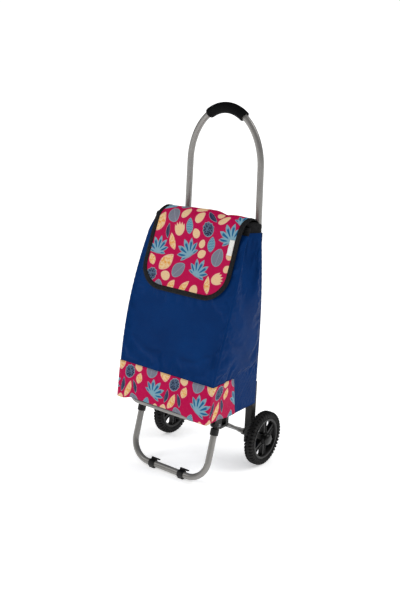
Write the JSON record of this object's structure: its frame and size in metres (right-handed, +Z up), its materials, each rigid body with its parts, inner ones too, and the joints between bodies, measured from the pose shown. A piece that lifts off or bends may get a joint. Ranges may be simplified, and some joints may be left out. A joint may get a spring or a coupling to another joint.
{
  "type": "shopping trolley",
  "caption": "Folding two-wheeled shopping trolley: arched tube handle with a foam grip, fabric bag with a hinged flap, fold-up platform, folding U-shaped foot and lugged wheels.",
  "frame": {"origin": "on the floor, under the centre of the trolley's box as it stands at rest", "axes": "+Z up, -Y the front, where the flap hangs and the foot stands, +X the right side seen from the front"},
  "size_m": [0.378, 0.345, 1.0028],
  "materials": {
    "grey_paint": "satin",
    "black_plastic": "moulded",
    "tyre_rubber": "lugged tread",
    "grip_foam": "soft foam",
    "bare_steel": "zinc plated",
    "blue_fabric": "woven polyester",
    "print_fabric": "printed polyester",
    "black_fabric": "webbing and tape",
    "white_tape": "satin tape"
  },
  "bodies": {
    "frame": {"handle_tube": "grey_paint", "handle_grip": "grip_foam", "upright_left": "black_plastic", "upright_rivet_left_lower": "bare_steel", "upright_rivet_left_upper": "bare_steel", "upright_right": "black_plastic", "upright_rivet_right_lower": "bare_steel", "upright_rivet_right_upper": "bare_steel", "axle_rod": "bare_steel", "axle_spacer_left": "black_plastic", "axle_push_nut_left": "bare_steel", "axle_spacer_right": "black_plastic", "axle_push_nut_right": "bare_steel", "bag_body": "blue_fabric", "bag_collar": "black_fabric", "base_board": "black_plastic", "bag_band": "print_fabric", "bag_loop_left_lower": "black_fabric", "bag_loop_left_upper": "black_fabric", "bag_loop_right_lower": "black_fabric", "bag_loop_right_upper": "black_fabric", "closure_patch_bag": "black_fabric"},
    "platform": {"platform_tube": "grey_paint", "arm_end_left": "black_plastic", "platform_pin_left": "bare_steel", "foot_joint_left": "black_plastic", "foot_joint_rivet_left_front": "bare_steel", "foot_joint_rivet_left_rear": "bare_steel", "foot_pin_left": "bare_steel", "stay_left": "grey_paint", "stay_snap_left": "black_plastic", "arm_end_right": "black_plastic", "platform_pin_right": "bare_steel", "foot_joint_right": "black_plastic", "foot_joint_rivet_right_front": "bare_steel", "foot_joint_rivet_right_rear": "bare_steel", "foot_pin_right": "bare_steel", "stay_right": "grey_paint", "stay_snap_right": "black_plastic"},
    "foot": {"foot_tube": "grey_paint", "foot_collar_left": "black_plastic", "foot_clip_left": "black_plastic", "foot_collar_right": "black_plastic", "foot_clip_right": "black_plastic"},
    "flap": {"flap_panel": "print_fabric", "flap_binding": "black_fabric", "flap_label": "white_tape", "closure_patch_flap": "black_fabric"},
    "wheel_left": {"tyre_left": "tyre_rubber", "wheel_hub_left": "black_plastic", "wheel_bush_left": "bare_steel", "hub_cap_left": "black_plastic"},
    "wheel_right": {"tyre_right": "tyre_rubber", "wheel_hub_right": "black_plastic", "wheel_bush_right": "bare_steel", "hub_cap_right": "black_plastic"}
  },
  "joints": [
    {"name": "wheel_left_spin", "type": "hinge", "parent": "frame", "child": "wheel_left", "pos_m": [-0.164, 0.0945, 0.078], "axis": [1, 0, 0], "continuous": true},
    {"name": "wheel_right_spin", "type": "hinge", "parent": "frame", "child": "wheel_right", "pos_m": [0.164, 0.0945, 0.078], "axis": [1, 0, 0], "continuous": true},
    {"name": "flap_open", "type": "hinge", "parent": "frame", "child": "flap", "pos_m": [0, 0.044, 0.6995], "axis": [1, 0, 0], "range_deg": [-90, 0]},
    {"name": "platform_fold", "type": "hinge", "parent": "frame", "child": "platform", "pos_m": [0, 0.0585, 0.196], "axis": [-1, 0, 0], "range_deg": [0, 75], "deforming": ["bag_body", "bag_band", "bag_collar", "base_board"]},
    {"name": "foot_fold", "type": "hinge", "parent": "platform", "child": "foot", "pos_m": [0, -0.0865, 0.168], "axis": [-1, 0, 0], "range_deg": [0, 73]}
  ]
}
